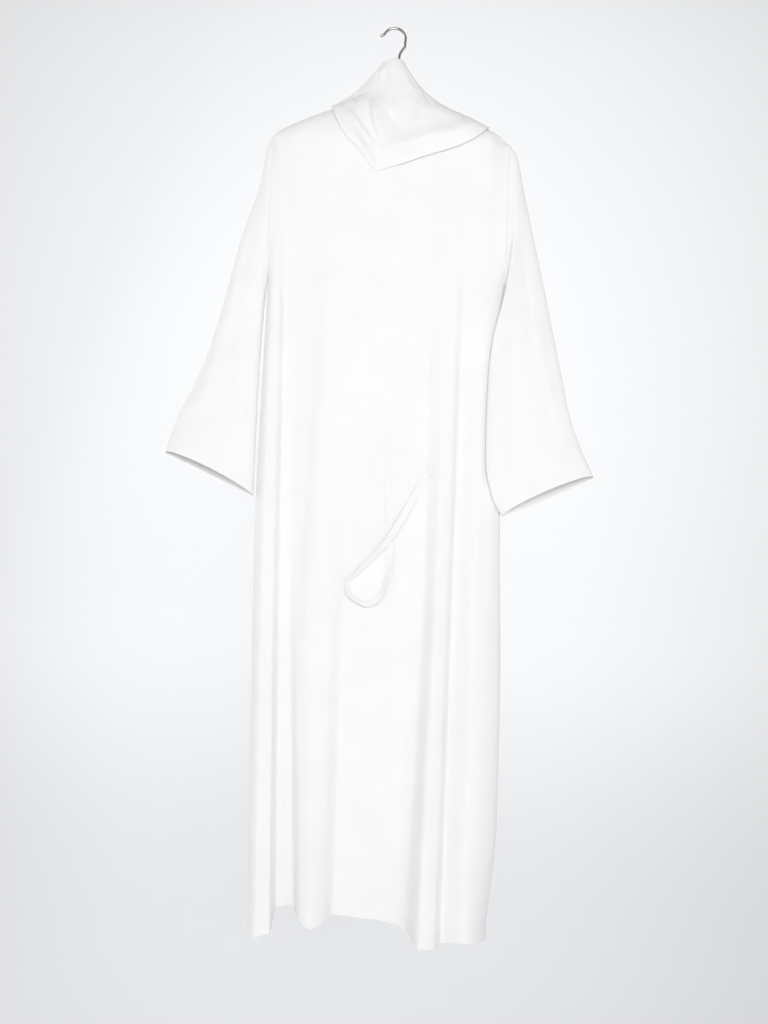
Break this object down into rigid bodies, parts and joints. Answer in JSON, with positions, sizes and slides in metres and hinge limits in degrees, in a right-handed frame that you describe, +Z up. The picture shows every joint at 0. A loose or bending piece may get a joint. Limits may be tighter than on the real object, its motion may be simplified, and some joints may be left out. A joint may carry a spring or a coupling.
{
  "type": "abaya on a hanger",
  "caption": "Full-length loose robe of matt white crepe with wide sleeves, a draped neck scarf and a narrow tie, hanging flat from the wire hook of a slim shoulder hanger.",
  "frame": {"origin": "the point inside the top of the hook that rests on the rail", "axes": "+Z up along the garment, +X to the right of someone who looks at the front, -Y towards them"},
  "size_m": [0.7247, 0.0974, 1.5301],
  "materials": {
    "crepe": "matt, soft drape, fine pebbled crepe",
    "hanger_plastic": "satin",
    "hook_wire": "polished"
  },
  "bodies": {
    "root": {"front_left": "crepe", "front_right": "crepe", "back": "crepe", "sleeve_left": "crepe", "sleeve_right": "crepe", "scarf_neck": "crepe", "scarf_drape": "crepe", "tie": "crepe", "hanger_body": "hanger_plastic", "hanger_hook": "hook_wire"}
  },
  "joints": []
}
